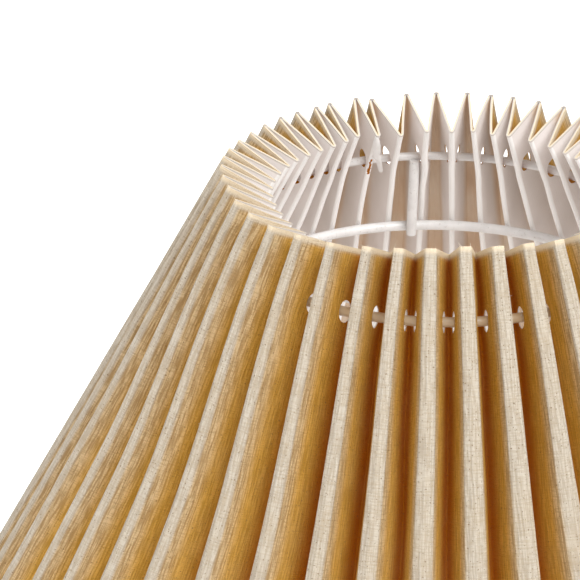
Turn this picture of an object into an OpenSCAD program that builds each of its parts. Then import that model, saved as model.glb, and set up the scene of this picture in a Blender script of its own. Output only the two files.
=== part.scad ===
// Pleated empire lamp shade: a laminated, knife-pleated cone on a two-ring wire frame.
// Millimetres, +Z up. The origin is the centre of the lower rim, on the plane it stands on.

/* [Shade] */
// Diameter over the pleat ridges at the top edge
top_d = 150; // [100:5:260]
// Diameter over the pleat ridges at the lower edge
bottom_d = 400; // [240:5:600]
// Height from the top edge to the lower edge, along a ridge line's fall
shade_h = 210; // [120:5:360]
// Number of pleats round the shade
pleats = 47; // [24:1:72]
// Width of one pleat panel, from ridge to inner fold
pleat_w = 20.5; // [10:0.5:32]
// Angle from the front to the first ridge
ridge_turn = 4.3; // [0:0.1:15]
// Thickness of the linen cover
cover_t = 0.35; // [0.2:0.05:0.8]
// Thickness of the white film glued behind the linen
backing_t = 0.3; // [0.15:0.05:0.8]

/* [Ring holes] */
// Diameter of the holes punched through the pleats
hole_d = 6.6; // [4:0.1:10]
// Distance of the hole centres from the top edge, along the pleat
hole_drop = 20.6; // [12:0.1:60]
// Distance of the hole centres from the inner fold, across the panel
hole_from_fold = 6.6; // [4.5:0.1:12]

/* [Wire frame] */
// Wire diameter of the ring threaded through the holes
ring_wire = 3.2; // [2:0.1:5]
// Wire diameter of the support ring
support_wire = 4; // [2:0.1:6]
// Wire diameter of the struts that join the two rings
strut_wire = 4; // [2:0.1:5]
// Wire diameter of the arms that carry the fitter
arm_wire = 4; // [2:0.1:6]
// Level of the support ring below the top edge
support_drop = 58.5; // [40:0.5:160]
// Number of the ridge whose channel holds the first strut
first_channel = 24; // [0:1:46]
// How far a strut runs past the support ring
strut_past = 0.2; // [0:0.1:6]
// Depth a wire is melted into its neighbour at a weld
weld_in = 0.3; // [0.1:0.05:0.8]
// Gap between the support ring and the inner folds it holds apart
fold_gap = 0.15; // [0.05:0.05:1]

/* [Ring sleeve] */
// Wall of the crimp sleeve that closes the threaded ring
sleeve_wall = 0.5; // [0.3:0.1:1]
// Length of the crimp sleeve
sleeve_l = 10; // [4:0.5:16]
// Gap between the two wire ends inside the sleeve
wire_end_gap = 0.4; // [0.1:0.1:1]

/* [Fitter] */
// Bore of the fitter plate, for the threaded shell of a lamp holder
fitter_bore = 42; // [28:0.5:62]
// Width of the fitter plate's flat
fitter_rim = 8; // [5:0.5:14]
// Thickness of the fitter plate
fitter_t = 2; // [1:0.25:4]
// How far each arm runs in under the plate
arm_under = 6; // [3:0.5:8]

/* [Seam] */
// Thickness of the joining tape inside one panel
tape_t = 0.2; // [0.1:0.05:0.4]
// Thickness of the glue line under the tape
glue_t = 0.25; // [0.1:0.05:0.4]
// Width of the joining tape
tape_w = 12; // [6:0.5:16]
// Distance of the tape's ends from the edges of the shade
tape_inset = 4; // [0:1:20]
// Number of the panel that carries the seam
seam_panel = 37; // [0:1:46]

/* [Hidden] */

linen_colour = [0.86, 0.76, 0.58];
white_colour = [0.93, 0.92, 0.9];
tape_colour = [0.85, 0.84, 0.78];
wire_colour = [0.95, 0.95, 0.94];
frame_count = 3;
wire_facets = 48;
ring_facets = 180;
hole_facets = 10;
slant_rows = 6;
punch_l = 3.4;
weld_reach = 2 * weld_in;

half_pitch = 180 / pleats;
first_ridge = ridge_turn - 90;
flare = (bottom_d - top_d) / 2;
slope = atan(flare / shade_h);
slant = norm([flare, shade_h]);
sheet_t = cover_t + backing_t;

// A pleat panel keeps its width from top to bottom, so the folds get shallower as they spread
function ridge_r(s) = top_d / 2 + s * sin(slope);
function chord_gain() = 1 - cos(half_pitch);
function fold_lead(s) = ridge_r(s) * cos(slope) * chord_gain();
function fold_depth(s) =
    fold_lead(s) + sqrt(pow(fold_lead(s), 2) + pow(pleat_w, 2) - 2 * pow(ridge_r(s), 2) * chord_gain());
// Moving a zigzag sheet inwards by its thickness moves both kinds of fold by this much
function mitre(s, inset) = inset * pleat_w / (ridge_r(s) * sin(half_pitch));
// The sheet is cut square to its slope, so the inner folds end lower than the ridges
function drop_in(s, is_ridge, inset) = (is_ridge ? 0 : fold_depth(s)) + mitre(s, inset);

top_z = shade_h + drop_in(slant, false, sheet_t) * sin(slope);

function fold_r(s, is_ridge, inset) = ridge_r(s) - drop_in(s, is_ridge, inset) * cos(slope);
function fold_z(s, is_ridge, inset) = top_z - s * cos(slope) - drop_in(s, is_ridge, inset) * sin(slope);
function fold_azimuth(j) = first_ridge + j * half_pitch;
function fold_point(j, s, inset) =
    let (is_ridge = j % 2 == 0, r = fold_r(s, is_ridge, inset), a = fold_azimuth(j))
    [r * cos(a), r * sin(a), fold_z(s, is_ridge, inset)];
// A point on a panel, from 0 at fold j to 1 at fold j + 1
function panel_point(j, across, s, inset) =
    fold_point(j, s, inset) * (1 - across) + fold_point(j + 1, s, inset) * across;

// The ring's circle is the one that runs through the middle of every hole
hole_point = panel_point(1, hole_from_fold / pleat_w, hole_drop, sheet_t / 2);
ring_r = norm([hole_point.x, hole_point.y]);
ring_z = hole_point.z;
hole_turn = atan2(hole_point.y, hole_point.x) - fold_azimuth(1);

// The support ring bears on the inner folds from inside, square to their fall at its own level
support_z = top_z - support_drop;
function slant_at(z, s) = s + (fold_z(s, false, sheet_t) - z) / cos(slope);
support_s = slant_at(support_z, slant_at(support_z, slant_at(support_z, support_drop)));
fold_step = slant / slant_rows;
fold_run = fold_r(support_s + fold_step, false, sheet_t) - fold_r(support_s, false, sheet_t);
fold_fall = fold_z(support_s, false, sheet_t) - fold_z(support_s + fold_step, false, sheet_t);
support_r = fold_r(support_s, false, sheet_t)
            - (support_wire / 2 + fold_gap) / cos(atan(fold_run / fold_fall));

// Each strut hangs from the threaded ring and leans out to the inside of the support ring
strut_high_r = ring_r - ring_wire / 2;
strut_high_z = ring_z - ring_wire / 2 + weld_reach;
strut_beside = (support_wire + strut_wire) / 2 - weld_in;
strut_lean = atan((support_r - strut_beside - strut_high_r) / (strut_high_z - support_z));
strut_touch_r = support_r - strut_beside / cos(strut_lean);
strut_low_z = support_z - support_wire / 2 - strut_past;
strut_low_r = strut_touch_r + (support_z - strut_low_z) * tan(strut_lean);

fitter_or = fitter_bore / 2 + fitter_rim;
fitter_z = support_z + arm_wire / 2 - weld_in;
fitter_chamfer = 0.3;

function channel(i) = round(first_channel + i * pleats / frame_count);
function channel_azimuth(i) = fold_azimuth(2 * channel(i));
function arm_azimuth(i) = (channel_azimuth(i) + channel_azimuth(i + 1)) / 2;

// One pleated sheet between two depths below the linen's outer face
module pleated_sheet(outer, inner) {
    folds = 2 * pleats;
    ring = folds * (slant_rows + 1);
    points = [for (inset = [outer, inner], i = [0:slant_rows], j = [0:folds - 1])
              fold_point(j, slant * i / slant_rows, inset)];
    walls = [for (i = [0:slant_rows - 1], j = [0:folds - 1])
             let (k = (j + 1) % folds, a = i * folds + j, b = i * folds + k, c = b + folds, d = a + folds)
             each [[a, b, c], [a, c, d], [b + ring, a + ring, c + ring], [a + ring, d + ring, c + ring]]];
    edges = [for (j = [0:folds - 1])
             let (k = (j + 1) % folds, low = slant_rows * folds)
             each [[j, j + ring, k], [k, j + ring, k + ring],
                   [low + k, low + j + ring, low + j], [low + k, low + k + ring, low + j + ring]]];
    polyhedron(points = points, faces = concat(walls, edges), convexity = 10);
}

// One short punch through every panel, along the ring's own circle
module ring_holes() {
    for (j = [0:pleats - 1], side = [-1, 1])
        rotate([0, 0, fold_azimuth(2 * j + 1) + side * hole_turn])
            translate([ring_r, 0, ring_z])
                rotate([90, 0, 0])
                    cylinder(h = punch_l, r = hole_d / 2, center = true, $fn = hole_facets);
}

module wire_ring(r, wire, z) {
    translate([0, 0, z])
        rotate_extrude($fn = ring_facets)
            translate([r, 0])
                circle(d = wire, $fn = wire_facets);
}

// A straight wire between two points that share an azimuth, given as radius and height
module straight_wire(from, to, wire) {
    run = to - from;
    translate([from[0], 0, from[1]])
        rotate([0, atan2(run[0], run[1]), 0])
            cylinder(h = norm(run), d = wire, $fn = wire_facets);
}

module cover() {
    color(linen_colour)
        difference() {
            pleated_sheet(0, cover_t);
            ring_holes();
        }
}

module backing() {
    color(white_colour)
        difference() {
            pleated_sheet(cover_t, sheet_t);
            ring_holes();
        }
}

// Glued inside one panel, below the holes, where the two ends of the strip meet
module seam_tape() {
    low = slant - tape_inset;
    high = hole_drop + hole_d / 2 + tape_inset;
    margin = (1 - tape_w / pleat_w) / 2;
    rows = [for (i = [0:slant_rows]) high + (low - high) * i / slant_rows];
    points = [for (s = rows)
              each [panel_point(2 * seam_panel, margin, s, sheet_t + glue_t),
                    panel_point(2 * seam_panel, 1 - margin, s, sheet_t + glue_t),
                    panel_point(2 * seam_panel, 1 - margin, s, sheet_t + glue_t + tape_t),
                    panel_point(2 * seam_panel, margin, s, sheet_t + glue_t + tape_t)]];
    walls = [for (i = [0:slant_rows - 1], j = [0:3])
             let (k = (j + 1) % 4, a = 4 * i + j, b = 4 * i + k)
             each [[a, b, b + 4], [a, b + 4, a + 4]]];
    last = 4 * slant_rows;
    ends = [[0, 3, 2], [0, 2, 1], [last, last + 1, last + 2], [last, last + 2, last + 3]];
    color(tape_colour)
        polyhedron(points = points, faces = concat(walls, ends), convexity = 4);
}

// Threaded through the holes while open, then closed by the sleeve
module top_ring() {
    gap_turn = 2 * asin(wire_end_gap / 2 / ring_r);
    color(wire_colour)
        translate([0, 0, ring_z])
            rotate([0, 0, channel_azimuth(0.5) + gap_turn / 2])
                rotate_extrude(angle = 360 - gap_turn, $fn = ring_facets)
                    translate([ring_r, 0])
                        circle(d = ring_wire, $fn = wire_facets);
}

module ring_sleeve() {
    turn = 2 * asin(sleeve_l / 2 / ring_r);
    color(wire_colour)
        translate([0, 0, ring_z])
            rotate([0, 0, channel_azimuth(0.5) - turn / 2])
                rotate_extrude(angle = turn, $fn = ring_facets)
                    translate([ring_r, 0])
                        difference() {
                            circle(d = ring_wire + 2 * sleeve_wall, $fn = wire_facets);
                            circle(d = ring_wire, $fn = wire_facets);
                        }
}

module support_ring() {
    color(wire_colour)
        wire_ring(support_r, support_wire, support_z);
}

// Welded under the inner side of the threaded ring and to the inside of the support ring
module strut(i) {
    color(wire_colour)
        difference() {
            rotate([0, 0, channel_azimuth(i)])
                straight_wire([strut_low_r, strut_low_z], [strut_high_r, strut_high_z], strut_wire);
            wire_ring(ring_r, ring_wire, ring_z);
            wire_ring(support_r, support_wire, support_z);
        }
}

module strut_1() {
    strut(0);
}

module strut_2() {
    strut(1);
}

module strut_3() {
    strut(2);
}

module fitter_disc() {
    translate([0, 0, fitter_z])
        rotate_extrude($fn = ring_facets)
            polygon([[fitter_bore / 2, 0],
                     [fitter_or - fitter_chamfer, 0],
                     [fitter_or, fitter_chamfer],
                     [fitter_or, fitter_t - fitter_chamfer],
                     [fitter_or - fitter_chamfer, fitter_t],
                     [fitter_bore / 2, fitter_t]]);
}

// Butted to the support ring at one end and welded under the fitter plate at the other
module arm(i) {
    outer = support_r - support_wire / 2 + weld_reach;
    color(wire_colour)
        difference() {
            rotate([0, 0, arm_azimuth(i)])
                straight_wire([fitter_or - arm_under, support_z], [outer, support_z], arm_wire);
            rotate([0, 0, arm_azimuth(i) + 180])
                wire_ring(support_r, support_wire, support_z);
            translate([0, 0, fitter_z])
                cylinder(h = arm_wire, r = fitter_or + weld_in, $fn = ring_facets);
        }
}

module arm_1() {
    arm(0);
}

module arm_2() {
    arm(1);
}

module arm_3() {
    arm(2);
}

module fitter() {
    color(wire_colour)
        fitter_disc();
}

cover();
backing();
seam_tape();
top_ring();
ring_sleeve();
support_ring();
strut_1();
strut_2();
strut_3();
arm_1();
arm_2();
arm_3();
fitter();
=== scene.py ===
import bpy
import math
import numpy as np
from mathutils import Matrix, Vector


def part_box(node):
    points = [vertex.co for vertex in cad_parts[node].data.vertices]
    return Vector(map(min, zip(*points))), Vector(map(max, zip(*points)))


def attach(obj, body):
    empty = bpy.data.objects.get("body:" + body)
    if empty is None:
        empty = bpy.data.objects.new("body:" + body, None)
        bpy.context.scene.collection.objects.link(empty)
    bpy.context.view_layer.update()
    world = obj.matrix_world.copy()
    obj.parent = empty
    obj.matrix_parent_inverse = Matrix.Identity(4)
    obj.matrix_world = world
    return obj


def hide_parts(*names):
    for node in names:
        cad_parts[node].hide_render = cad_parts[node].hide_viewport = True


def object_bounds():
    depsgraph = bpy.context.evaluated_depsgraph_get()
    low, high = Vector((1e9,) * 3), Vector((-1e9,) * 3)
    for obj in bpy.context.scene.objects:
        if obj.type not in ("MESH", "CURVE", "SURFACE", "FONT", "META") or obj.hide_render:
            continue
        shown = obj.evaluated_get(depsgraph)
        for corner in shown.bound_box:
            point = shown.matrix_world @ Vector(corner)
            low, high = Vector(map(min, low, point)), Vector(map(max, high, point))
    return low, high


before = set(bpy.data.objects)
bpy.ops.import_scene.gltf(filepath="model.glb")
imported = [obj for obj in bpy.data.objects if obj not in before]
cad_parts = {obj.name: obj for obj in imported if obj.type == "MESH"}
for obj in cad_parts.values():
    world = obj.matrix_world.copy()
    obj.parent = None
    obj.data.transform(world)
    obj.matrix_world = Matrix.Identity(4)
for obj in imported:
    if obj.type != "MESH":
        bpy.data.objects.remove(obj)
cad_low, cad_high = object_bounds()

# The camera stands at a customer's eye level beside a low table and looks down on the rim.
# It is a plain 95 mm portrait view, held very slightly off level.
rim_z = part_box("cover")[1].z
eye_away = 0.52927
eye_lift = math.radians(20.508)
look_down = eye_lift + math.radians(4.785)
look_aside = math.radians(-6.066)
tilt = math.radians(-1.255)

eye = Vector((0, -eye_away * math.cos(eye_lift), rim_z + eye_away * math.sin(eye_lift)))
ahead = Vector((math.sin(look_aside) * math.cos(look_down),
                math.cos(look_aside) * math.cos(look_down),
                -math.sin(look_down)))
level = Vector((math.cos(look_aside), -math.sin(look_aside), 0))
upright = level.cross(ahead)
across = level * math.cos(tilt) + upright * math.sin(tilt)
upward = upright * math.cos(tilt) - level * math.sin(tilt)
camera_data = bpy.data.cameras.new("camera")
camera_data.sensor_width = 36
camera_data.lens = 95.41
camera = bpy.data.objects.new("camera", camera_data)
stance = Matrix((across, upward, -ahead)).transposed().to_4x4()
camera.matrix_world = Matrix.Translation(eye) @ stance
bpy.context.collection.objects.link(camera)
bpy.context.scene.camera = camera

# The studio is a white surround with one large soft box on the right and a weak one on the left.
# Colours are shown as they are, with no film curve.
bpy.context.scene.view_settings.view_transform = "Standard"
surround = bpy.data.worlds.new("surround")
surround.use_nodes = True
backdrop = surround.node_tree.nodes["Background"]
backdrop.inputs["Color"].default_value = (1, 1, 1, 1)
backdrop.inputs["Strength"].default_value = 0.75
bpy.context.scene.world = surround


def soft_box(name, azimuth, elevation, distance, size, power):
    """A square lamp aimed at the rim, placed by degrees round and above it."""
    aim = Vector((0, 0, rim_z))
    turn, lift = math.radians(azimuth), math.radians(elevation)
    way = Vector((math.sin(turn) * math.cos(lift),
                  -math.cos(turn) * math.cos(lift),
                  math.sin(lift)))
    data = bpy.data.lights.new(name, "AREA")
    data.size = size
    data.energy = power
    box = bpy.data.objects.new(name, data)
    box.location = aim + way * distance
    box.rotation_euler = way.to_track_quat("Z", "Y").to_euler()
    bpy.context.collection.objects.link(box)


soft_box("key_light", 35, 48, 1.6, 0.9, 22)
soft_box("fill_light", -60, 30, 2.0, 1.6, 6)

# The floor is a sheet of matt white board, with the faint mottle of its coating.
# It glows a little, as board does under a light tent.


class Value:
    """One socket of a finish, which can be used in sums."""

    def __init__(self, finish, socket):
        self.finish = finish
        self.socket = socket

    def maths(self, operation, first, second=0.0):
        return self.finish.node("ShaderNodeMath", {"operation": operation}, {0: first, 1: second})

    def __add__(self, other):
        return self.maths("ADD", self, other)

    __radd__ = __add__

    def __sub__(self, other):
        return self.maths("SUBTRACT", self, other)

    def __rsub__(self, other):
        return self.maths("SUBTRACT", other, self)

    def __mul__(self, other):
        return self.maths("MULTIPLY", self, other)

    __rmul__ = __mul__

    def sine(self):
        return self.maths("SINE", self)

    def between(self, low, high):
        """0 up to low, 1 from high, with a smooth ramp between them."""
        return self.finish.node("ShaderNodeMapRange", {"interpolation_type": "SMOOTHSTEP"},
                                {"Value": self, "From Min": low, "From Max": high})


class Finish:
    """A material under construction."""

    def __init__(self, name):
        self.material = bpy.data.materials.new(name)
        self.material.use_nodes = True
        self.tree = self.material.node_tree
        self.tree.nodes.clear()

    def node(self, kind, settings, inputs, out=0):
        """One shader node, with its settings made first, then its values and links."""
        made = self.tree.nodes.new(kind)
        for key, value in settings.items():
            setattr(made, key, value)
        for key, value in inputs.items():
            if isinstance(value, Value):
                self.tree.links.new(value.socket, made.inputs[key])
            else:
                made.inputs[key].default_value = value
        return Value(self, made.outputs[out])

    def blend(self, share, first, second):
        """The first colour where share is 0, and the second where it is 1."""
        colours = {key: (*colour, 1) if isinstance(colour, tuple) else colour
                   for key, colour in ((6, first), (7, second))}
        return self.node("ShaderNodeMix", {"data_type": "RGBA"}, {0: share, **colours}, 2)

    def place(self):
        return self.node("ShaderNodeTexCoord", {}, {}, "Object")

    def parts(self, place):
        """The three numbers of a place."""
        split = self.node("ShaderNodeSeparateXYZ", {}, {0: place})
        return [Value(self, socket) for socket in split.socket.node.outputs]

    def spot(self, x, y):
        return self.node("ShaderNodeCombineXYZ", {}, {0: x, 1: y})

    def cloud(self, place, scale, detail, rough=0.5):
        return self.node("ShaderNodeTexNoise", {},
                         {"Vector": place, "Scale": scale, "Detail": detail, "Roughness": rough})

    def relief(self, height, depth):
        return self.node("ShaderNodeBump", {},
                         {"Height": height, "Distance": depth, "Strength": 1.0})

    def surface(self, colour, rough, normal, fixed):
        skin = self.node("ShaderNodeBsdfPrincipled", {},
                         {"Base Color": colour, "Roughness": rough, "Normal": normal, **fixed})
        end = self.tree.nodes.new("ShaderNodeOutputMaterial")
        self.tree.links.new(skin.socket, end.inputs["Surface"])


board = Finish("matt_board")
coating = board.cloud(board.place(), 9.0, 4.0)
board.surface(board.blend(coating, (0.9, 0.9, 0.9), (0.97, 0.965, 0.96)),
              coating * 0.2 + 0.7,
              board.relief(coating, 0.0005),
              {"Emission Color": (1, 1, 1, 1), "Emission Strength": 0.55})
floor_half = 6.0
floor_mesh = bpy.data.meshes.new("floor")
floor_mesh.from_pydata([(x * floor_half, y * floor_half, cad_low.z)
                        for x, y in ((-1, -1), (1, -1), (1, 1), (-1, 1))],
                       [], [(0, 1, 2, 3)])
floor_mesh.materials.append(board.material)
floor = bpy.data.objects.new("floor", floor_mesh)
bpy.context.collection.objects.link(floor)

# The cover is one strip of natural linen, knife-pleated under steam and cut square to its slope.
# Its ridges stay blunt and its inner folds are pressed flat, so each pleat is a deep narrow fin.
pleats = 47
shade_h = 0.21
top_r = 0.075
bottom_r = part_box("cover")[1].x
slant = math.hypot(bottom_r - top_r, shade_h)
slope = math.atan2(bottom_r - top_r, shade_h)
half_pitch = math.pi / pleats
first_ridge = math.radians(4.3 - 90)
chance = np.random.default_rng(47)

# One panel straight from ridge to fold, and its length round the blunt ridge
pleat_w = 0.0205
panel_l = 0.0217
flat_size = (2 * pleats * panel_l, slant)

# The sheets as they set the depth of a fold, and as they are drawn, with their nap
linen_t = 0.00035
film_t = 0.0003
drawn_linen_t = 0.00038
drawn_film_t = 0.00032

# Straying of each ridge and of each inner fold at the top edge, in degrees
ridge_stray = 1.8 + np.array([
    .17, .02, -.18, -.28, -.6, -.2, .3, .7, .4, -.3, -.9, -.5, .2, .6, .1, -.6, -1.0, -1.3,
    -1.40, -.88, -.46, -1.33, -2.04, -.40, .59, 3.34, .69, 1.57, -1.45, -2.31, -3.36, -4.30,
    -5.71, -6.70, -6.44, -6.2, -5.9, -5.6, -5.36, -5.51, -5.08, -3.9, -2.80, -1.22, .02, -.06,
    -.03])
fold_stray = 1.8 + np.array([
    1.65, 3.0, 1.2, .2, -.5, .2, .6, .5, .1, -.7, -.6, -.2, .5, .3, -.4, -1.6, -3.30, -3.51,
    -2.60, -1.26, -2.38, -2.68, -2.23, -.70, 1.25, 2.6, 3.59, .58, -1.88, -3.52, -4.27, -4.71,
    -6.2, -6.6, -6.3, -6.0, -5.7, -5.5, -5.4, -5.3, -4.4, -3.2, -1.9, -1.2, -1.52, -1.48, .97])
# Straying of the ridges half way down, a quarter of that at the top except across the front
low_stray = 0.25 * ridge_stray
low_stray[38:] = [.8, .5, .6, .9, 1.6, 2.2, 2.68, 2.35, 2.2]
low_stray[:5] = [1.92, 1.5, 1.3, 1.0, .7]
# How far each ridge and each inner fold stands above the mean cut, in millimetres
ridge_lift = np.array([
    .93, .57, .47, 0, .2, -.3, .1, .4, -.2, -.5, .2, .6, .1, -.3, 0, .4, .2, 0,
    .14, .20, .30, .15, .41, .07, -.38, -1.68, -.11, -.60, -.95, -1.03, -.87, -1.50,
    -2.17, -2.23, -1.55, -.6, .2, .5, .48, -.83, -1.62, -2.2, -1.74, -1.55, -.78, -.24, .27])
fold_lift = np.array([
    1.04, .48, .2, .1, -.2, .3, .1, -.4, .2, .3, -.2, .1, .4, 0, -.1, .3, .62, 1.00,
    1.38, 1.67, 1.17, 1.91, .89, .81, -.8, .4, 2.05, .44, -.61, -.90, -.68, -.44,
    -.6, -.7, -.4, 0, .2, .3, .1, -.4, -.7, -.8, -.5, -.2, .31, .54, .92])


def smooth(x, low, high):
    """0 up to low, 1 from high, with a smooth ramp between them."""
    t = np.clip((x - low) / (high - low), 0, 1)
    return t * t * (3 - 2 * t)


def ridge_radius(s):
    """Radius of the ridge line at a distance down the slope."""
    return top_r + s * math.sin(slope)


def fold_depth(s):
    """Depth of an inner fold of the linen below the ridge line, square to the slope."""
    gain = 1 - math.cos(half_pitch)
    lead = ridge_radius(s) * math.cos(slope) * gain
    depth = lead + np.sqrt(lead ** 2 + pleat_w ** 2 - 2 * ridge_radius(s) ** 2 * gain)
    mitre = (linen_t + film_t) * pleat_w / (ridge_radius(s) * math.sin(half_pitch))
    # The folds stop short of the support ring, and are pressed less deep near the cut edge
    ring_gap = 0.0009
    less_at_top = 0.0021 * (1 - smooth(s, 0, 0.06))
    return depth + mitre - ring_gap - less_at_top


# The threaded ring crosses every panel at the depth hole_v, hole_s down the slope
ring_low, ring_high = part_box("top_ring")
ring_wire_r = (ring_high.z - ring_low.z) / 2
ring_z = (ring_high.z + ring_low.z) / 2
ring_r = ring_high.x - ring_wire_r
down = rim_z - ring_z
hole_s = (ring_r - top_r) * math.sin(slope) + down * math.cos(slope)
hole_v = down * math.sin(slope) - (ring_r - top_r) * math.cos(slope)
hole_r = 0.0036

# The grid's lines round a hole, where the square of the second and last but one becomes its edge
hole_steps = np.array([-3.75, -2.6, -1.3, 0, 1.3, 2.6, 3.75]) / 1000
hole_square = hole_steps[-2]
hole_cells = len(hole_steps) - 3

# One half pleat: each column is a part of the section and a share of the way along that part
columns = ([("crest", q) for q in (0, 0.5)]
           + [("facet", q) for q in (0, 0.5)]
           + [("shoulder", q) for q in (0, 0.25, 0.5, 0.75)]
           + [("wall", q) for q in (0, 0.14, 0.28)]
           + [("hole", step) for step in hole_steps]
           + [("hairpin", q) for q in (0, 0.3, 0.6, 1)])
half = len(columns)
first_hole_column = [kind for kind, _ in columns].index("hole") + 1

# Distances of the rows down the slope, closest at the cut edges and round the holes
top_rows = np.array([0, .4, 1, 2.2, 4, 6.5, 9.5, 12.5, 14.6]) / 1000
rows = np.concatenate([top_rows,
                       hole_s + hole_steps,
                       np.linspace(hole_s + 0.008, slant - 0.003, 44),
                       [slant - 0.001, slant]])
first_hole_row = len(top_rows) + 1


def toward(degrees, low, high):
    """By pleat, 1 round a place this many degrees before the first ridge, and 0 far from it."""
    facing = np.cos(2 * half_pitch * np.arange(pleats) + math.radians(degrees))[:, None]
    return smooth(facing, low, high)


# The ridges away from the front are pinched sharper at the top, and those on the left narrower
nearness = toward(6.1, -0.35, 0.55)
leftness = toward(70, 0.2, 0.9)


def section(kind, q, s):
    """Sideways place, depth, heading and length along half a pleat, for one column of the grid.

    The section leaves its ridge round a small crest, crosses a flat facet, turns at a shoulder
    into the long steep wall, and ends in the hairpin of the inner fold. A heading is a quarter
    turn where the section runs straight sideways, and 0 where it runs straight in.
    """
    top_lean, low_lean = np.radians(40 + 36 * nearness), math.radians(62)
    lean = top_lean + (low_lean - top_lean) * smooth(s, 0.0, 0.08)
    width = (0.0008 + 0.0005 * nearness + (0.0008 - 0.0004 * nearness) * smooth(s, 0.0, 0.02)
             + 0.0013 * smooth(s, 0.015, 0.11) + 0.0005 * smooth(s, 0.1, 0.24))
    width = width * (1 - 0.4 * leftness)
    crest_round = 0.00085 + 0.00005 * (1 - nearness)
    shoulder_round = 0.0007 + 0.0005 * smooth(s, 0.0, 0.13)
    fold_round = 0.0002 + 0.0002 * smooth(s, 0.0, 0.018)
    deep = fold_depth(s)
    aside = (ridge_radius(s) - deep * math.cos(slope)) * half_pitch
    crest_u, crest_v = crest_round * np.cos(lean), crest_round * (1 - np.sin(lean))
    facet_l = (width - crest_u) / np.sin(lean)
    facet_u, facet_v = width, crest_v + facet_l * np.cos(lean)
    # The wall's heading is halved in on until the hairpin ends midway between two ridges
    low, high = np.zeros_like(s), np.full_like(s, math.radians(60))
    for _ in range(40):
        steep = (low + high) / 2
        shoulder_u = facet_u + shoulder_round * (np.cos(steep) - np.cos(lean))
        shoulder_v = facet_v + shoulder_round * (np.sin(lean) - np.sin(steep))
        wall_v = deep - fold_round * (1 - np.sin(steep))
        wall_u = shoulder_u + (wall_v - shoulder_v) * np.tan(steep)
        over = wall_u + fold_round * np.cos(steep) > aside
        high = np.where(over, steep, high)
        low = np.where(over, low, steep)
    crest_l = crest_round * (math.pi / 2 - lean)
    shoulder_l = shoulder_round * (lean - steep)
    wall_l = (wall_v - shoulder_v) / np.cos(steep)
    start = crest_l + facet_l
    if kind == "crest":
        heading = math.pi / 2 + (lean - math.pi / 2) * q
        return (crest_round * np.cos(heading), crest_round * (1 - np.sin(heading)),
                heading, crest_l * q)
    if kind == "facet":
        return (crest_u + (facet_u - crest_u) * q, crest_v + (facet_v - crest_v) * q,
                lean, crest_l + facet_l * q)
    if kind == "shoulder":
        heading = lean + (steep - lean) * q
        return (facet_u + shoulder_round * (np.cos(heading) - np.cos(lean)),
                facet_v + shoulder_round * (np.sin(lean) - np.sin(heading)),
                heading, start + shoulder_l * q)
    if kind == "hairpin":
        heading = steep + (math.pi / 2 - steep) * q
        return (wall_u + fold_round * (np.cos(steep) - np.cos(heading)),
                wall_v + fold_round * (np.sin(heading) - np.sin(steep)),
                heading, start + shoulder_l + wall_l + fold_round * (heading - steep))
    if kind == "hole":
        # These columns keep their real spacing, and follow the ring's depth until well below it
        at_ring = (hole_v - shoulder_v) / (wall_v - shoulder_v)
        lower_down = 0.64
        near_ring = 1 - smooth(s, hole_s + 0.01, hole_s + 0.05)
        q = lower_down + (at_ring - lower_down) * near_ring + q / wall_l
    return (shoulder_u + (wall_u - shoulder_u) * q, shoulder_v + (wall_v - shoulder_v) * q,
            steep, start + shoulder_l + wall_l * q)


# Away from the front the holes ride up on the ring and are worn longer
rise = 0.0017 * (1 - nearness)
hole_middle = hole_s - rise[:, 0]
hole_long_r = hole_r + 0.2 * rise[:, 0]
grid = np.zeros((5, pleats, len(rows), half))
for c, (kind, q) in enumerate(columns):
    s = rows - rise * smooth(rows, 0.012, 0.016) * (1 - smooth(rows, 0.026, 0.034))
    step = np.full_like(s, q)
    if kind == "hole" and abs(q) <= hole_square:
        for r in range(first_hole_row, first_hole_row + hole_cells + 1):
            x, y = q, rows[r] - hole_s
            if abs(max(abs(x), abs(y)) - hole_square) < 1e-6:
                sideways = abs(x) >= abs(y)
                turn = math.pi / 4 * (y / x if sideways else x / y)
                sign = math.copysign(1, x if sideways else y)
                main, other = sign * math.cos(turn), sign * math.sin(turn)
                step[:, r] = hole_r * (main if sideways else other)
                s[:, r] = hole_middle + hole_long_r * (other if sideways else main)
    for k, value in enumerate(section(kind, step, s)):
        grid[k, :, :, c] = value
    grid[4, :, :, c] = s

# Every pleat repeats the half section on both sides of its ridge, then strays a little
order = [(-1, c) for c in range(half - 2, -1, -1)] + [(1, c) for c in range(1, half)]
per_pleat = len(order)
total = pleats * per_pleat
side = np.array([turn for turn, _ in order])
pick = np.array([c for _, c in order])
deep_share = (grid[1] / grid[1][:, :, -1:])[:, :, pick]
waves = chance.uniform(-1, 1, (6, pleats))
turns = chance.uniform(0, 2 * math.pi, (6, pleats))
# Just below the ring each inner fold is kinked aside, one at the back the most
kink_s, kink_l = 0.024, 0.006
kinks = chance.uniform(-1, 1, pleats)
kinks[23] = -1.6


def by_pleat(values):
    """One value for each pleat, set out to go with pleat by row by column."""
    return values[:, None, None]


def sway(k, s, stride):
    """A slow sideways wander down one fold, different on each pleat."""
    long_wave = by_pleat(waves[k]) * np.sin(s / stride + by_pleat(turns[k]))
    short_wave = by_pleat(waves[k + 1]) * np.sin(s / stride * 2.3 + by_pleat(turns[k + 1]))
    return long_wave * 0.6 + short_wave * 0.4


def either(values):
    """Values of the inner fold on the right of each pleat, or on its left for the left half."""
    values = np.broadcast_to(values, (pleats, len(rows), per_pleat))
    return np.where(side == 1, values, np.roll(values, 1, axis=0))


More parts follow.
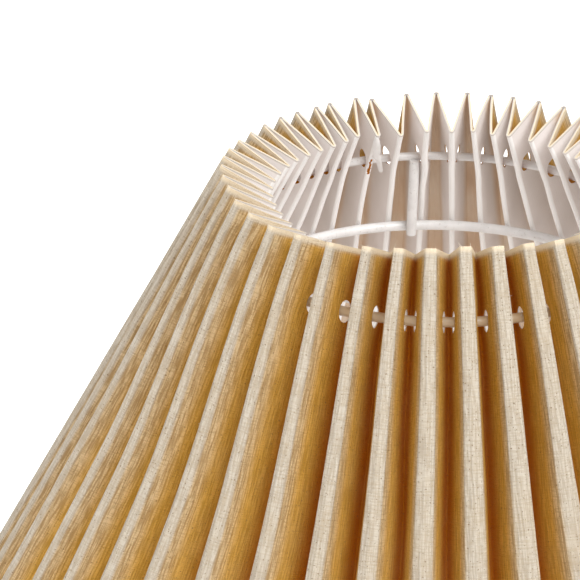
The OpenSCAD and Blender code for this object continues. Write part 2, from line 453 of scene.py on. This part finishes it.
def layer(inset, fluff=0.0):
    """Points of the sheet at one depth below the linen's face, pleat by row by column.

    Fluff is how much deeper it lies right at the cut edge, where a sheet has frayed thicker.
    """
    u, v, heading, _, s = grid[:, :, :, pick]
    inset = inset + fluff * np.exp(-s / 0.0012)
    u_in = u - inset * np.cos(heading)
    v_in = v + inset * np.sin(heading)
    lower = smooth(s, 0.008, 0.1)
    low_fold = (low_stray + np.roll(low_stray, -1)) / 2
    ridge_turn = np.radians(by_pleat(ridge_stray) * (1 - lower) + by_pleat(low_stray) * lower)
    fold_turn = np.radians(by_pleat(fold_stray) * (1 - lower) + by_pleat(low_fold) * lower)
    kink = by_pleat(kinks) * np.exp(-((s - kink_s) / kink_l) ** 2)
    ridge_turn = ridge_turn + 0.00035 * sway(0, s, 0.03) / ridge_radius(s)
    fold_sway = 0.0004 * sway(2, s, 0.02) + 0.0006 * kink
    fold_turn = either(fold_turn + fold_sway / ridge_radius(s))
    belly = 0.0005 * sway(4, s, 0.035) * np.sin(math.pi * np.clip(deep_share, 0, 1))
    lift = (by_pleat(ridge_lift) * (1 - deep_share)
            + either(by_pleat(fold_lift)) * deep_share) / 1000
    s_out = s - lift * (1 - smooth(s, 0, 0.0145))
    radius = ridge_radius(s_out) - v_in * math.cos(slope)
    base = ridge_radius(s) - v * math.cos(slope)
    to_fold = deep_share ** 1.2
    azimuth = (first_ridge + 2 * half_pitch * by_pleat(np.arange(pleats)) + side * u_in / base
               + ridge_turn * (1 - to_fold) + fold_turn * to_fold + belly / ridge_radius(s))
    z = rim_z - s_out * math.cos(slope) - v_in * math.sin(slope)
    return np.stack([radius * np.cos(azimuth), radius * np.sin(azimuth), z], axis=-1)


def joined(values):
    """Pleat by row by column, turned into row by column all round the shade."""
    return np.concatenate(list(values), axis=1)


# Which faces of the grid the holes take away
punched = np.zeros((len(rows) - 1, total), bool)
for column in range(total):
    here, beside = order[column % per_pleat], order[(column + 1) % per_pleat]
    first = min(here[1], beside[1])
    if here[0] == beside[0] and first_hole_column <= first < first_hole_column + hole_cells:
        punched[first_hole_row:first_hole_row + hole_cells, column] = True


def mesh_object(name, points, polygons, finish, threads=None, share=None):
    """A mesh of four-sided faces, smooth except at its real corners."""
    used, renamed = np.unique(polygons, return_inverse=True)
    polygons = renamed.reshape(polygons.shape)
    mesh = bpy.data.meshes.new(name)
    mesh.vertices.add(len(used))
    mesh.vertices.foreach_set("co", points[used].ravel())
    mesh.loops.add(polygons.size)
    mesh.loops.foreach_set("vertex_index", polygons.ravel().astype(np.int32))
    mesh.polygons.add(len(polygons))
    mesh.polygons.foreach_set("loop_start", np.arange(0, polygons.size, 4, dtype=np.int32))
    mesh.update(calc_edges=True)
    if threads is not None:
        lengths = mesh.uv_layers.new(name="threads")
        lengths.data.foreach_set("uv", threads.ravel().astype(np.float32))
        depth = mesh.attributes.new("fold_share", "FLOAT", "POINT")
        depth.data.foreach_set("value", share[used].astype(np.float32))
    mesh.materials.append(finish.material)
    mesh.polygons.foreach_set("use_smooth", np.ones(len(polygons), bool))
    mesh.set_sharp_from_angle(angle=math.radians(50))
    made = bpy.data.objects.new(name, mesh)
    bpy.context.collection.objects.link(made)
    return made


def sheet_object(name, outer, inner, cut, finish):
    """A closed pleated sheet between two layers, open where cut says."""
    points = np.concatenate([joined(outer).reshape(-1, 3), joined(inner).reshape(-1, 3)])
    last = len(rows) - 1
    count = len(rows) * total
    r, left = np.meshgrid(np.arange(last), np.arange(total), indexing="ij")
    right = (left + 1) % total
    a, b = r * total + left, r * total + right
    c, d = b + total, a + total
    quads = np.stack([a, d, c, b], axis=-1)[~cut]
    rims = [np.stack([a[0], b[0]], axis=-1), np.stack([c[-1], d[-1]], axis=-1)]
    for shift, axis, start, end in ((1, 0, b, a), (-1, 0, d, c), (1, 1, a, d), (-1, 1, c, b)):
        wall = cut & np.roll(~cut, shift, axis=axis)
        rims.append(np.stack([start[wall], end[wall]], axis=-1))
    rim = np.concatenate(rims)
    bands = np.stack([rim[:, 0], rim[:, 1], rim[:, 1] + count, rim[:, 0] + count], axis=-1)
    polygons = np.concatenate([quads, quads[:, ::-1] + count, bands])
    strip = 2 * panel_l * by_pleat(np.arange(pleats)) + grid[3][:, :, pick] * side
    run = joined(strip).ravel()[polygons % count]
    across_seam = np.ptp(run, axis=1, keepdims=True) > flat_size[0] / 2
    run = np.where(across_seam & (run < flat_size[0] / 2), run + flat_size[0], run)
    fall = joined(grid[4][:, :, pick]).ravel()[polygons % count]
    share = np.tile(joined(deep_share).ravel(), 2)
    return mesh_object(name, points, polygons, finish, np.stack([run, fall], axis=-1), share)


def sheet_places(finish):
    """Run along the strip, fall down it, share of the way into a fold, and the ridge tips at the
    cut edge on the back half.
    """
    run, fall, _ = finish.parts(finish.node("ShaderNodeUVMap", {"uv_map": "threads"}, {}))
    share = finish.node("ShaderNodeAttribute", {"attribute_name": "fold_share"}, {}, "Fac")
    _, back, _ = finish.parts(finish.place())
    on_ridge = 1 - share.between(0.02, 0.07)
    at_cut = 1 - fall.between(0.0006, 0.002)
    return run, fall, share, back.between(0.02, 0.05) * on_ridge * at_cut


linen = Finish("natural_linen")
run, fall, share, grey_tip = sheet_places(linen)

# A plain weave, with slubs that are long along their own thread and thin across it
thread_pitch = 0.00042
weft = (run * (2 * math.pi / thread_pitch)).sine()
warp = (fall * (2 * math.pi / thread_pitch)).sine()
weft_slub = linen.cloud(linen.spot(run * 220, fall * 2000), 1.0, 3.0)
warp_slub = linen.cloud(linen.spot(run * 1700, fall * 110), 1.0, 3.0)
mottle = linen.cloud(linen.spot(run * 60, fall * 60), 1.0, 3.0)
fleck = linen.cloud(linen.spot(run * 1300, fall * 1300), 1.0, 1.0).between(0.65, 0.73)
weave = weft * warp * 0.3 + weft_slub * 2.2 + warp_slub * 2.6
thin_weft = weft_slub.between(0.45, 0.62)
thick_warp = warp_slub.between(0.4, 0.6)

# Painted light and shade: cream for the ridges, tan for the walls and ochre for the folds, each
# in yarn, slub and thin yarn
cream, tan, ochre = (
    linen.blend(thin_weft * much, linen.blend(thick_warp, yarn, slub), thin)
    for much, yarn, slub, thin in (
        (0.45, (0.53, 0.45, 0.35), (0.66, 0.59, 0.49), (0.48, 0.38, 0.26)),
        (0.45, (0.42, 0.27, 0.12), (0.72, 0.54, 0.31), (0.40, 0.26, 0.12)),
        (0.30, (0.46, 0.25, 0.035), (0.66, 0.38, 0.08), (0.44, 0.23, 0.035))))
# The linen is painted darker and browner further into each fold as painted shade. This fades in
# from 1 to 3 mm below the cut edge, so the top of every fold keeps the cream as painted light
amber_shade = (0.50, 0.17, 0.002)
shade_below_edge = fall.between(0.0008, 0.0032)
tone = cream
for begin, full, deeper in ((0.05, 0.12, tan), (0.16, 0.42, ochre), (0.5, 0.95, amber_shade)):
    tone = linen.blend(share.between(begin, full) * shade_below_edge, tone, deeper)
tone = linen.blend(mottle.between(0.35, 0.8) * 0.2, tone, (0.55, 0.40, 0.22))
tone = linen.blend(fleck * 0.7, tone, (0.20, 0.12, 0.05))

# A painted emission in the folds and at the raw edge stands in for light coming through the
# cloth; the raw edge is painted pale, partly for its pale ends of yarn and partly as painted
# light
raw_edge = 1 - fall.between(0.0004, 0.0024)
painted_glow = linen.blend(share.between(0.03, 0.35), (0, 0, 0), (0.085, 0.040, 0.002))
painted_glow = linen.blend(share.between(0.5, 1.0), painted_glow, (0.055, 0.010, 0))
painted_glow = linen.blend(raw_edge, painted_glow, (0.12, 0.085, 0.04))
tone = linen.blend(raw_edge, tone, (0.76, 0.65, 0.49))

# The ridge tips at the cut edge on the back half are painted grey
tip_grey = (0.26, 0.24, 0.24)
tone = linen.blend(grey_tip * 0.8, tone, tip_grey)
linen.surface(tone, mottle * 0.1 + 0.85, linen.relief(weave, 0.0003),
              {"Emission Color": painted_glow, "Emission Strength": 1.0,
               "Sheen Weight": 0.04, "Sheen Roughness": 0.6, "Specular IOR Level": 0.15})
frayed = 0.0001
cover = sheet_object("linen_cover", layer(0.0, -frayed), layer(drawn_linen_t), punched, linen)
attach(cover, "root")
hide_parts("cover")

# Short fibres of the linen stand up along its cut edge and on its ridges.
# Each is a bent, tapered hair, left where the shears and the pleating rubbed the yarn.
hairs = 420
hair_r = 0.000045
hair_root = 0.0001
steps = np.linspace(0, 1, 5)


def unit(vectors):
    """The same directions, one long."""
    return vectors / np.linalg.norm(vectors, axis=-1, keepdims=True)


# Nearly half stand on the cut edge and point mostly up, and the rest point out from the ridges
face = layer(0.0)
hair_row = np.where(chance.random(hairs) < 0.45, 0, chance.integers(2, len(rows) - 4, hairs))
on_edge = hair_row == 0
hair_column = np.where(on_edge, chance.integers(0, per_pleat, hairs),
                       half - 1 + chance.integers(-5, 6, hairs))
root = face[chance.integers(0, pleats, hairs), hair_row, hair_column]
away = unit(unit(root * (1, 1, 0)) + (0, 0, 0.3)
            + on_edge[:, None] * np.array([0, 0, 1.2]) + chance.normal(0, 0.45, (hairs, 3)))
bend = unit(np.cross(away, chance.normal(0, 1, (hairs, 3))))
beside_bend = np.cross(away, bend)
length = chance.uniform(0.0006, 0.0020, hairs)[:, None, None]
hair_line = (root[:, None] + away[:, None] * (length * steps[:, None] - hair_root)
             + bend[:, None] * (0.4 * length * steps[:, None] ** 2))
taper = (hair_r * (1.2 - steps))[None, :, None, None]
around = np.stack([bend, beside_bend, -bend, -beside_bend], axis=1)[:, None]
hair_points = (hair_line[:, :, None] + around * taper).reshape(-1, 3)

# Four points round each step of a hair, with a face between neighbours and one on each end
corner = np.arange(4)
next_corner = (corner + 1) % 4
hair_start = np.arange(hairs)[:, None] * len(steps) * 4
step_start = (hair_start + np.arange(len(steps) - 1) * 4).ravel()[:, None]
hair_sides = np.stack([step_start + corner, step_start + next_corner,
                       step_start + 4 + next_corner, step_start + 4 + corner],
                      axis=-1).reshape(-1, 4)
hair_ends = np.concatenate([hair_start + corner[::-1],
                            hair_start + (len(steps) - 1) * 4 + corner])
hair = Finish("linen_fibre")
along_hair = hair.cloud(hair.place(), 900.0, 2.0)
hair.surface(hair.blend(along_hair, (0.62, 0.52, 0.38), (0.82, 0.75, 0.62)),
             along_hair * 0.2 + 0.7, hair.relief(along_hair, 0.00005), {"Sheen Weight": 0.2})
hair_faces = np.concatenate([hair_sides, hair_ends])
fibres = mesh_object("loose_fibres", hair_points, hair_faces, hair)
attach(fibres, "root")

# The backing is a white plastic film, ironed to the linen before pleating.
# It is satin and a little cloudy. Deep in each channel it is painted tan-brown as painted shade
# and painted light from the linen, along each inner fold it is painted near white as a painted
# highlight, and it has a faint orange painted emission all over.
film = Finish("white_film")
run, fall, share, grey_tip = sheet_places(film)
cloudy = film.cloud(film.spot(run * 45, fall * 25), 1.0, 3.0)
print_through = film.cloud(film.spot(run * 2400, fall * 90), 1.0, 2.0)
white = film.blend(cloudy.between(0.3, 0.7), (0.77, 0.72, 0.69), (0.86, 0.81, 0.79))
warm_shade = film.blend(cloudy.between(0.35, 0.65), (0.72, 0.52, 0.34), (0.80, 0.67, 0.53))
tone = film.blend(share.between(0.1, 0.45), warm_shade, white)
# Painted highlight: near white along each inner fold
tone = film.blend(share.between(0.96, 0.99), tone, (0.97, 0.96, 0.95))
tone = film.blend(1 - fall.between(0.0002, 0.0009), tone, (0.60, 0.55, 0.49))
# The same ridge tips at the back are painted grey on the film
tone = film.blend(grey_tip * 0.8, tone, tip_grey)
# The faint emission is painted light for what comes through the linen
film.surface(tone, cloudy * 0.2 + 0.4, film.relief(print_through + cloudy * 3.0, 0.00008),
             {"Emission Color": (1.0, 0.86, 0.74, 1), "Emission Strength": 0.05,
              "Specular IOR Level": 0.4})

# A ragged gap is left along one inner fold, level with the ring
torn_pleat = 25
tear_top, tear_end = 0.014, 0.0235
torn_fold = (torn_pleat + 1) * per_pleat
torn = punched.copy()
for r in np.flatnonzero((rows > tear_top) & (rows < tear_end)):
    torn[r, torn_fold - chance.integers(1, 4):torn_fold + chance.integers(0, 2)] = True
film_inside = layer(drawn_linen_t + drawn_film_t, frayed)
backing = sheet_object("film_backing", layer(drawn_linen_t), film_inside, torn, film)
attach(backing, "root")
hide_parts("backing")

# At the back the film has torn along one inner fold, between its top edge and the ring.
# A ragged strip of it hangs loose in front of the fold, twisted a little.


def patch_object(name, front, back, finish):
    """A thin closed patch between two grids of points."""
    high, wide = front.shape[:2]
    count = high * wide
    index = np.arange(count).reshape(high, wide)
    faces = np.stack([index[:-1, :-1], index[1:, :-1], index[1:, 1:], index[:-1, 1:]],
                     axis=-1).reshape(-1, 4)
    edge = np.concatenate([index[0], index[1:, -1], index[-1, -2::-1], index[-2:0:-1, 0]])
    beyond = np.roll(edge, -1)
    rim = np.stack([edge, beyond, beyond + count, edge + count], axis=-1)
    points = np.concatenate([front.reshape(-1, 3), back.reshape(-1, 3)])
    return mesh_object(name, points, np.concatenate([faces, faces[:, ::-1] + count, rim]), finish)


strip_l = 0.0225
strip_w = 0.0032
strip_half_t = 0.00012
down_strip = np.linspace(0, 1, 22)

# It starts beside the fold, drifts to the right down its length and stands a little in from it
fold_line = film_inside[torn_pleat, :, -1]
spine = np.stack([np.interp(0.0008 + strip_l * down_strip, rows, fold_line[:, axis])
                  for axis in range(3)], axis=1)
inward = -unit(spine[0] * (1, 1, 0))
right = np.array([-inward[1], inward[0], 0])
spine = (spine
         + right * (0.0046 * down_strip[:, None] ** 1.6 - 0.0008 * (1 - down_strip[:, None]))
         + inward * (0.0004 + 0.0010 * np.sin(math.pi * down_strip[:, None])))
twist = (0.2 + 0.7 * down_strip + 0.3 * np.sin(9 * down_strip))[:, None]
across_way = right * np.cos(twist) + inward * np.sin(twist)
ragged = 1 + 0.22 * chance.uniform(-1, 1, len(down_strip))
narrowing = (1.1 - 0.5 * down_strip) * np.minimum(1, 0.3 + 4 * down_strip)
half_width = (strip_w / 2 * narrowing * ragged)[:, None, None]
across_strip = np.linspace(-1, 1, 5)[None, :, None]
curl = unit(np.cross(across_way, np.gradient(spine, axis=0)))[:, None]
strip_middle = (spine[:, None] + across_way[:, None] * half_width * across_strip
                + curl * 0.0004 * across_strip ** 2)
torn_skin = Finish("torn_film")
crumple = torn_skin.cloud(torn_skin.place(), 420.0, 4.0)
torn_skin.surface(torn_skin.blend(crumple, (0.84, 0.81, 0.79), (0.96, 0.95, 0.94)),
                  crumple * 0.2 + 0.4, torn_skin.relief(crumple, 0.0003),
                  {"Specular IOR Level": 0.4})
flap = patch_object("torn_film", strip_middle - curl * strip_half_t,
                    strip_middle + curl * strip_half_t, torn_skin)
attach(flap, "root")

# The two ends of the pleated strip overlap inside one panel, and paper tape holds them together.
# The tape is gummed to the film side, clear of the ring and of the lower rim.
paper = Finish("gummed_paper")
paper_place = paper.place()
pulp = paper.cloud(paper_place, 650.0, 5.0, 0.7)
crease = paper.cloud(paper_place, 60.0, 3.0)
tone = paper.blend(crease.between(0.3, 0.7), (0.66, 0.62, 0.52), (0.76, 0.73, 0.64))
paper.surface(paper.blend(pulp * 0.35, tone, (0.56, 0.50, 0.39)), crease * 0.2 + 0.7,
              paper.relief(pulp + crease * 3.0, 0.0001), {"Specular IOR Level": 0.25})
seam_pleat = 37
tape_top, tape_end = 0.029, slant - 0.004
tape_t = 0.0002
gum_t = 0.00001
seam_rows = np.flatnonzero((rows > tape_top) & (rows < tape_end))
seam_columns = np.arange(half - 2 + columns.index(("wall", 0.14)),
                         half - 1 + columns.index(("hole", hole_steps[-1])))
tape_gap = drawn_linen_t + drawn_film_t + gum_t
tape_under, tape_over = (layer(inset)[seam_pleat][np.ix_(seam_rows, seam_columns)]
                         for inset in (tape_gap, tape_gap + tape_t))
tape = patch_object("joining_tape", tape_under, tape_over, paper)
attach(tape, "root")
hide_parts("seam_tape")

# The rings, struts, arms and sleeve are steel wire, welded and then dipped in white plastic.
# The coat is satin, with faint runs and a few scuffs. At the front it is painted tan, as painted
# shade and light bounced from the linen round it.
coat = Finish("coated_wire")
coat_place = coat.place()
runs = coat.cloud(coat_place, 220.0, 3.0)
scuff = coat.cloud(coat_place, 900.0, 2.0).between(0.62, 0.75)
_, toward_back, _ = coat.parts(coat_place)
tone = coat.blend(runs.between(0.3, 0.7), (0.78, 0.77, 0.76), (0.85, 0.84, 0.83))
# Painted shade: tan on the front half
tone = coat.blend(toward_back.between(-0.05, 0.0), (0.62, 0.48, 0.31), tone)
coat.surface(coat.blend(scuff * 0.5, tone, (0.52, 0.49, 0.45)), runs * 0.2 + 0.28,
             coat.relief(runs + scuff * 0.4, 0.0002), {"Coat Weight": 0.2})
for node in ("top_ring", "ring_sleeve", "support_ring", "strut_1", "strut_2", "strut_3",
             "arm_1", "arm_2", "arm_3", "fitter"):
    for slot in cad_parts[node].material_slots:
        slot.material = coat.material
